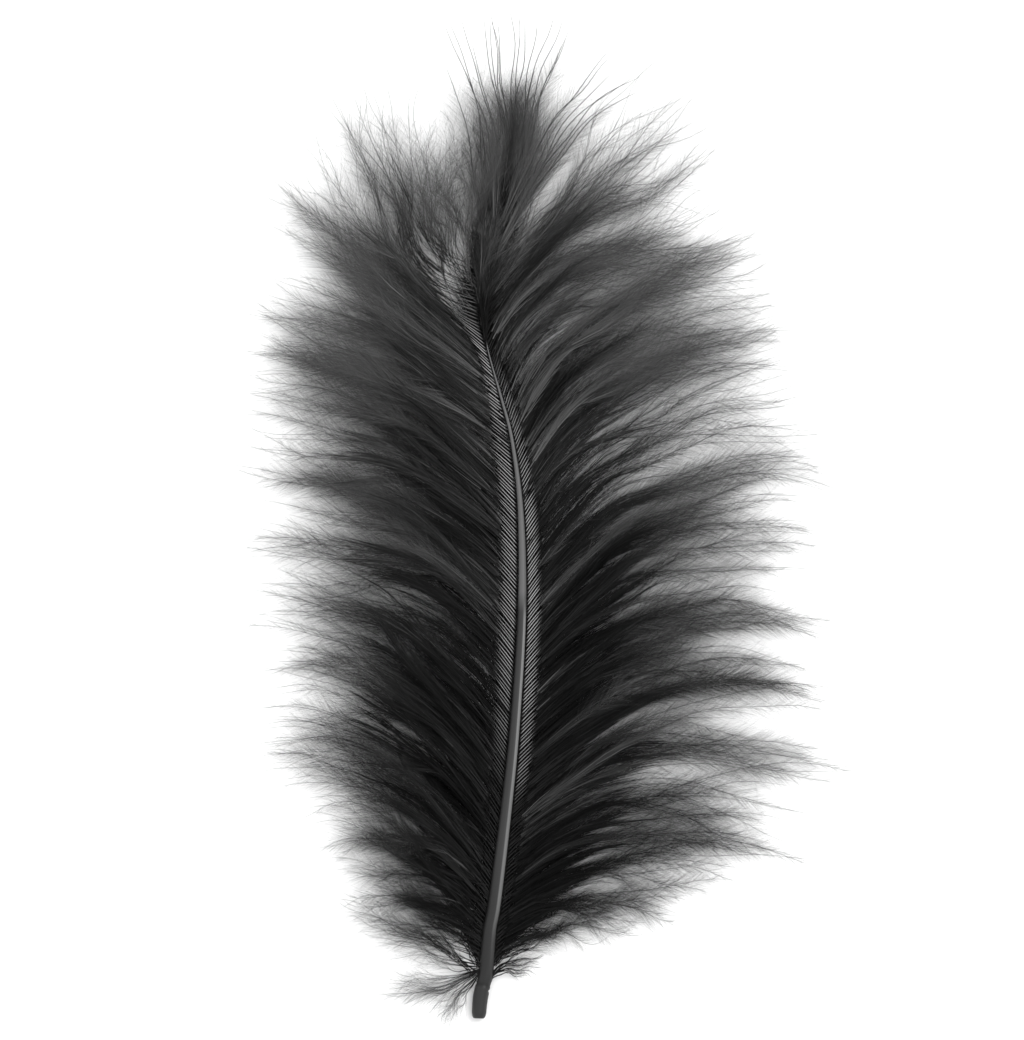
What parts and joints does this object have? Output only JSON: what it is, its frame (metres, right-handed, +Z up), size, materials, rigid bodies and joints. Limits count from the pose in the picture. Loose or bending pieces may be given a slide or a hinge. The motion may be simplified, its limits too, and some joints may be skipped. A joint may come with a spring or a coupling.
{
  "type": "ostrich feather",
  "caption": "Soft black dyed plume with a bare quill end, a curved tapering shaft and long fluffy barbs gathered into pointed locks, lying flat.",
  "frame": {"origin": "middle of the plume's outline, on the surface that it lies on", "axes": "+Y along the shaft from the cut quill end to the tip, +X across to the right, +Z up from the surface"},
  "size_m": [0.096, 0.1548, 0.0085],
  "materials": {
    "down": "black dyed down, soft and silky, with a satin grey shaft"
  },
  "bodies": {
    "root": {"feather": "down"}
  },
  "joints": []
}
